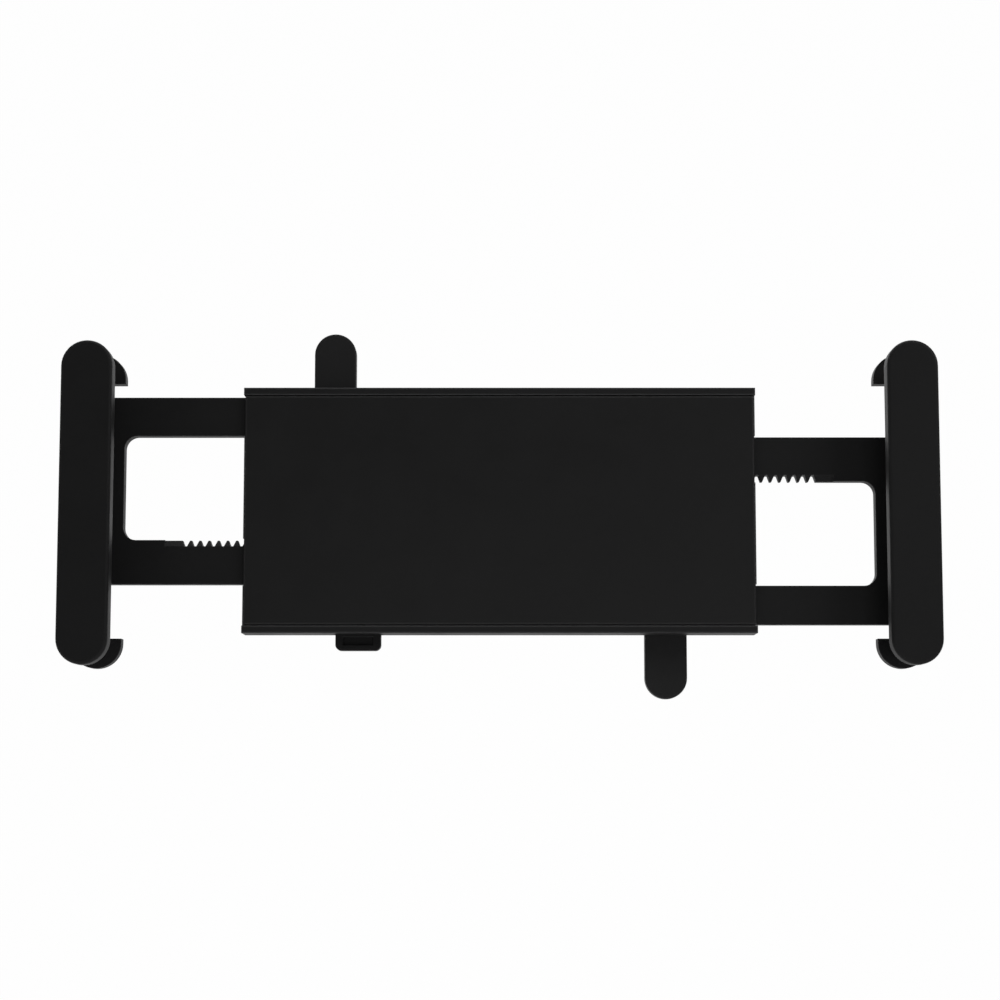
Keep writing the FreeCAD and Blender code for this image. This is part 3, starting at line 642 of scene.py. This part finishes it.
# %% Screw outline
HEAD_RADIUS = 2.2 * MM
HEAD_HEIGHT = 1.3 * MM
HEAD_DOME = [(0.0, 0.0), (0.4, 0.03), (0.7, 0.16), (0.9, 0.36), (1.0, 0.7)]
SHANK_RADIUS = 1.1 * MM
CORE_RADIUS = 0.86 * MM
TIP_RADIUS = CORE_RADIUS / 2
THREAD_TURNS = 8


def screw_outline():
    """Half a screw from the middle of its head to its tip, in the plane of the screw's axis."""
    low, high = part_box("cover_screws")
    seat = high.y - HEAD_HEIGHT
    corners = [(HEAD_RADIUS * out, high.y - HEAD_HEIGHT * drop, 0.0) for out, drop in HEAD_DOME]
    corners += [(HEAD_RADIUS, seat, 0.0), (CORE_RADIUS, seat, 0.0)]
    pitch = (seat - low.y) / (THREAD_TURNS + 1)
    flank = pitch / 3
    for turn in range(1, THREAD_TURNS + 1):
        crest = seat - pitch * turn
        corners += [
            (CORE_RADIUS, crest + flank, 0.0),
            (SHANK_RADIUS, crest, 0.0),
            (CORE_RADIUS, crest - flank, 0.0),
        ]
    corners += [(TIP_RADIUS, low.y, 0.0), (0.0, low.y, 0.0)]
    return corners, high.y


# %% One screw
SCREW_STEPS = 40
SCREW_SMOOTH_ANGLE = math.radians(35)
CROSS_HALF_WIDTH = 0.3 * MM
CROSS_REACH = 1.25 * MM
CROSS_DEPTH = 0.8 * MM
CROSS_TAPER = (0.55, 1.0, 0.7)


def cross_corners(top):
    """The twelve corners of a cross above the head."""
    quarter = [
        (CROSS_REACH, -CROSS_HALF_WIDTH),
        (CROSS_REACH, CROSS_HALF_WIDTH),
        (CROSS_HALF_WIDTH, CROSS_HALF_WIDTH),
    ]
    corners = []
    for _ in range(4):
        corners += [(x, top, z) for x, z in quarter]
        quarter = [(-z, x) for x, z in quarter]
    return corners


screw_corners, head_top = screw_outline()
screw = draw_section("cover_screw", screw_corners, filled=False)
bpy.ops.mesh.spin(steps=SCREW_STEPS, angle=2 * math.pi, center=(0, 0, 0), axis=(0, 1, 0))
close_piece(screw)
cutter = draw_section("cross_cutter", cross_corners(head_top + CROSS_DEPTH))
bpy.ops.mesh.extrude_region_move(TRANSFORM_OT_translate={"value": (0, -2 * CROSS_DEPTH, 0)})
bpy.ops.transform.resize(value=CROSS_TAPER, center_override=(0, head_top - CROSS_DEPTH, 0))
close_piece(cutter)
recess = screw.modifiers.new("cross_recess", "BOOLEAN")
recess.object = cutter
recess.operation = "DIFFERENCE"
recess.solver = "EXACT"
bpy.context.view_layer.objects.active = screw
bpy.ops.object.modifier_apply(modifier=recess.name)
bpy.data.objects.remove(cutter)
bpy.ops.object.shade_smooth_by_angle(angle=SCREW_SMOOTH_ANGLE)
print("screw faces:", len(screw.data.polygons))

# %% Four screws
SCREW_OUTER = 57 * MM
SCREW_INNER = 20 * MM
SCREW_PLACES = [(-SCREW_OUTER, 12), (-SCREW_INNER, 51), (SCREW_INNER, 78), (SCREW_OUTER, 33)]
for number, (screw_x, degrees) in enumerate(SCREW_PLACES, start=1):
    copy = copy_piece(screw, f"cover_screw_{number}")
    bpy.ops.transform.rotate(value=math.radians(degrees), orient_axis="Y", center_override=(0, 0, 0))
    bpy.ops.transform.translate(value=(screw_x, 0, 0))
    bpy.ops.object.transform_apply(location=True, rotation=True, scale=True)
    settle(copy, black_oxide, "cover_screws")
    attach(copy, "body")
bpy.data.objects.remove(screw)
print("screws:", len(SCREW_PLACES))

# %% [markdown]
# ## Wound springs
# One spring holds the latch down and two draw the hooks together. These are modelled again: a small
# circle of wire is wound up by the Screw modifier into a coil that fills the box of its solid.

# %% Winding a coil
WIRE_RADIUS = 0.25 * MM
WIRE_SIDES = 8
COIL_STEPS = 24


def wind_coil(name, node, turns, lies_along_x):
    """A closed coil of wire that fills the box of the solid it stands for."""
    low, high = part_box(node)
    size = high - low
    length = (size.x if lies_along_x else size.z) - 2 * WIRE_RADIUS
    coil_radius = size.y / 2 - WIRE_RADIUS
    deselect_all()
    bpy.ops.mesh.primitive_circle_add(
        vertices=WIRE_SIDES, radius=WIRE_RADIUS, location=(coil_radius, 0, 0), rotation=(math.pi / 2, 0, 0)
    )
    coil = bpy.context.object
    coil.name = name
    bpy.ops.object.transform_apply(location=True, rotation=True, scale=True)
    winding = coil.modifiers.new("winding", "SCREW")
    winding.axis = "Z"
    winding.steps = COIL_STEPS
    winding.render_steps = COIL_STEPS
    winding.iterations = turns
    winding.screw_offset = length / turns
    bpy.ops.object.modifier_apply(modifier=winding.name)
    if lies_along_x:
        bpy.ops.transform.rotate(value=math.pi / 2, orient_axis="Y", center_override=(0, 0, 0))
        bpy.ops.object.transform_apply(location=True, rotation=True, scale=True)
    bpy.ops.object.mode_set(mode="EDIT")
    bpy.ops.mesh.select_all(action="SELECT")
    bpy.ops.mesh.fill_holes(sides=WIRE_SIDES)
    close_piece(coil)
    bpy.ops.object.shade_smooth()
    coil_low, coil_high = mesh_box(coil)
    bpy.ops.transform.translate(value=(low + high - coil_low - coil_high) / 2)
    bpy.ops.object.transform_apply(location=True, rotation=False, scale=False)
    return coil


# %% Three springs
COILS = [
    ("latch_coil", "latch_spring", 9, False, "latch"),
    ("left_hook_coil", "left_clamp_spring", 40, True, "left_clamp"),
    ("right_hook_coil", "right_clamp_spring", 40, True, "right_clamp"),
]


for coil_name, coil_node, coil_turns, along_x, moving_body in COILS:
    coil = wind_coil(coil_name, coil_node, coil_turns, along_x)
    settle(coil, zinc_steel, coil_node)
    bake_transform(coil)
print("coils:", [name for name, *_ in COILS])

# %% [markdown]
# ## The studio
# The photograph has a pure white ground and soft light. A pale floor lies well below the holder and turns
# up into a backdrop behind it. Both look white to the camera through the Light Path node, so the white
# needs no extra light on the black plastic.

# %% Floor and backdrop
FLOOR_DROP = 0.6
STAGE_HALF = 3.0
BACKDROP_BACK = 1.6
BACKDROP_RADIUS = 0.5
BACKDROP_SEGMENTS = 12


def pick_edges(mesh, wanted):
    """Selects just the edges of a mesh in edit mode that a test picks."""
    bpy.ops.mesh.select_mode(type="EDGE")
    bpy.ops.mesh.select_all(action="DESELECT")
    edit = bmesh.from_edit_mesh(mesh)
    for edge in edit.edges:
        edge.select_set(wanted(edge))
    bmesh.update_edit_mesh(mesh)


def make_stage():
    """A floor whose far edge is extruded up into a backdrop, with the corner between them rounded."""
    deselect_all()
    bpy.ops.mesh.primitive_plane_add(size=2 * STAGE_HALF, location=(0, BACKDROP_BACK - STAGE_HALF, 0))
    floor = bpy.context.object
    floor.name = "stage_floor"
    bpy.ops.object.transform_apply(location=True, rotation=False, scale=False)
    bpy.ops.object.mode_set(mode="EDIT")
    far = BACKDROP_BACK - MM
    pick_edges(floor.data, lambda edge: all(spot.co.y > far for spot in edge.verts))
    bpy.ops.mesh.extrude_region_move(TRANSFORM_OT_translate={"value": (0, 0, 2 * STAGE_HALF)})
    pick_edges(floor.data, lambda edge: all(spot.co.y > far and spot.co.z < MM for spot in edge.verts))
    bpy.ops.mesh.bevel(offset=BACKDROP_RADIUS, segments=BACKDROP_SEGMENTS, affect="EDGES")
    bpy.ops.mesh.select_mode(type="VERT")
    bpy.ops.object.mode_set(mode="OBJECT")
    bpy.ops.transform.translate(value=(0, 0, cad_low.z - FLOOR_DROP))
    bpy.ops.object.transform_apply(location=True, rotation=False, scale=False)
    bpy.ops.object.shade_smooth()
    return floor


# %% White for the stage
STAGE_WHITE = (0.86, 0.86, 0.86)
STAGE_ROUGHNESS = 0.9
PURE_WHITE = (1.0, 1.0, 1.0)
PURE_WHITE_SHARE = 0.985


def make_stage_material():
    """Matte white for the light that bounces off it, and nearly pure white to the camera and in mirrors."""
    material, tree, shader = new_material("stage_white")
    feed_all(tree, shader, {"Base Color": STAGE_WHITE, "Roughness": STAGE_ROUGHNESS})
    feed_all(tree, shader, {"Specular IOR Level": 0.0})
    path = tree.nodes.new("ShaderNodeLightPath").outputs
    mirrored = calculate(tree, "MAXIMUM", path["Is Glossy Ray"], path["Is Transmission Ray"])
    shown = calculate(tree, "MAXIMUM", path["Is Camera Ray"], mirrored)
    share = calculate(tree, "MULTIPLY", shown, PURE_WHITE_SHARE)
    glow = tree.nodes.new("ShaderNodeEmission")
    feed_all(tree, glow, {"Color": PURE_WHITE, "Strength": 1.0})
    swap = tree.nodes.new("ShaderNodeMixShader")
    for socket, source in zip(swap.inputs, (share, shader.outputs["BSDF"], glow.outputs["Emission"])):
        feed(tree, socket, source)
    surface = next(node for node in tree.nodes if node.type == "OUTPUT_MATERIAL").inputs["Surface"]
    feed(tree, surface, swap.outputs["Shader"])
    return material


stage_floor = make_stage()
dress(stage_floor, make_stage_material())
print("floor at", round((cad_low.z - FLOOR_DROP) / MM), "mm")

# %% [markdown]
# ## Soft light
# Two large soft lamps stand high at the front corners and one lies over the top, so the flat face gets an
# even, low tone while the rounded edges catch a thin bright line. A small one low in front fills the
# underside, and two more light the back, which the photograph never shows. The world adds a little light
# from all round, and is white only where the camera looks past the floor.

# %% Lamps
# Each lamp has its name, its place and the side of its square in metres, and its power in watts.
LAMPS = [
    ("key_right", (0.9, -0.75, 0.7), 0.7, 5.4),
    ("fill_left", (-1.0, -0.7, 0.45), 0.8, 1.9),
    ("top_soft", (0.0, -0.1, 1.1), 0.9, 5.0),
    ("under_fill", (0.15, -0.7, -0.15), 0.25, 0.5),
    ("rear_left", (-0.8, 0.85, 0.6), 0.7, 7.5),
    ("rear_right", (0.9, 0.8, 0.35), 0.8, 4.2),
]


def make_lamp(name, place, side, power):
    """A square area lamp that points at the middle of the holder."""
    data = bpy.data.lights.new(name, "AREA")
    data.size = side
    data.energy = power
    lamp = bpy.data.objects.new(name, data)
    lamp.location = place
    lamp.rotation_euler = (-Vector(place)).to_track_quat("-Z", "Y").to_euler()
    bpy.context.scene.collection.objects.link(lamp)


for lamp in LAMPS:
    make_lamp(*lamp)
print("lamps:", [name for name, *_ in LAMPS])

# %% World
WORLD_LEVEL = 0.1
world = bpy.data.worlds.new("studio")
bpy.context.scene.world = world
world.use_nodes = True
sky_tree = world.node_tree
sky = next(node for node in sky_tree.nodes if node.type == "BACKGROUND")
seen = sky_tree.nodes.new("ShaderNodeLightPath").outputs["Is Camera Ray"]
level = calculate(sky_tree, "MAXIMUM", seen, WORLD_LEVEL)
feed_all(sky_tree, sky, {"Color": PURE_WHITE, "Strength": level})
print("world level:", WORLD_LEVEL)

# %% [markdown]
# ## The camera
# The photograph looks at the holder almost straight on, from a little below its middle: the underside of
# the body shows as a thin strip, and the jaws, which are nearest, sit a touch high. Its lens stands about
# half a metre away. Most of that view comes from tilting the camera up, and the rest from a small shift.
# The focal length follows from the width of the body in the picture.

# %% Camera
CAMERA_DISTANCE = 0.488
CAMERA_DROP = 0.072
CAMERA_TILT = math.radians(5.0)
SENSOR_WIDTH_MM = 36.0
FRAME_PIXELS = 1000
BODY_PIXELS = 514
ORIGIN_PIXEL = (499.6, 509.6)

camera_data = bpy.data.cameras.new("camera")
camera = bpy.data.objects.new("camera", camera_data)
bpy.context.scene.collection.objects.link(camera)
bpy.context.scene.camera = camera
camera.location = (0.0, -CAMERA_DISTANCE, -CAMERA_DROP)
camera.rotation_euler = (math.pi / 2 + CAMERA_TILT, 0.0, 0.0)
body_low, body_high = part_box("housing")
body_depth = CAMERA_DISTANCE * math.cos(CAMERA_TILT) + CAMERA_DROP * math.sin(CAMERA_TILT)
focus_pixels = BODY_PIXELS / (body_high.x - body_low.x) * body_depth
camera_data.sensor_width = SENSOR_WIDTH_MM
camera_data.lens = SENSOR_WIDTH_MM * focus_pixels / FRAME_PIXELS
lift = math.tan(math.atan2(CAMERA_DROP, CAMERA_DISTANCE) - CAMERA_TILT) * focus_pixels
camera_data.shift_x = -(ORIGIN_PIXEL[0] - FRAME_PIXELS / 2) / FRAME_PIXELS
camera_data.shift_y = (lift + ORIGIN_PIXEL[1] - FRAME_PIXELS / 2) / FRAME_PIXELS
print("lens", round(camera_data.lens, 1), "shift", round(camera_data.shift_y, 3))

# %% [markdown]
# ## Colours as written
# The Standard view shows a colour as the materials give it, without a film look.

# %% View settings
bpy.context.scene.view_settings.view_transform = "Standard"
bpy.context.view_layer.update()
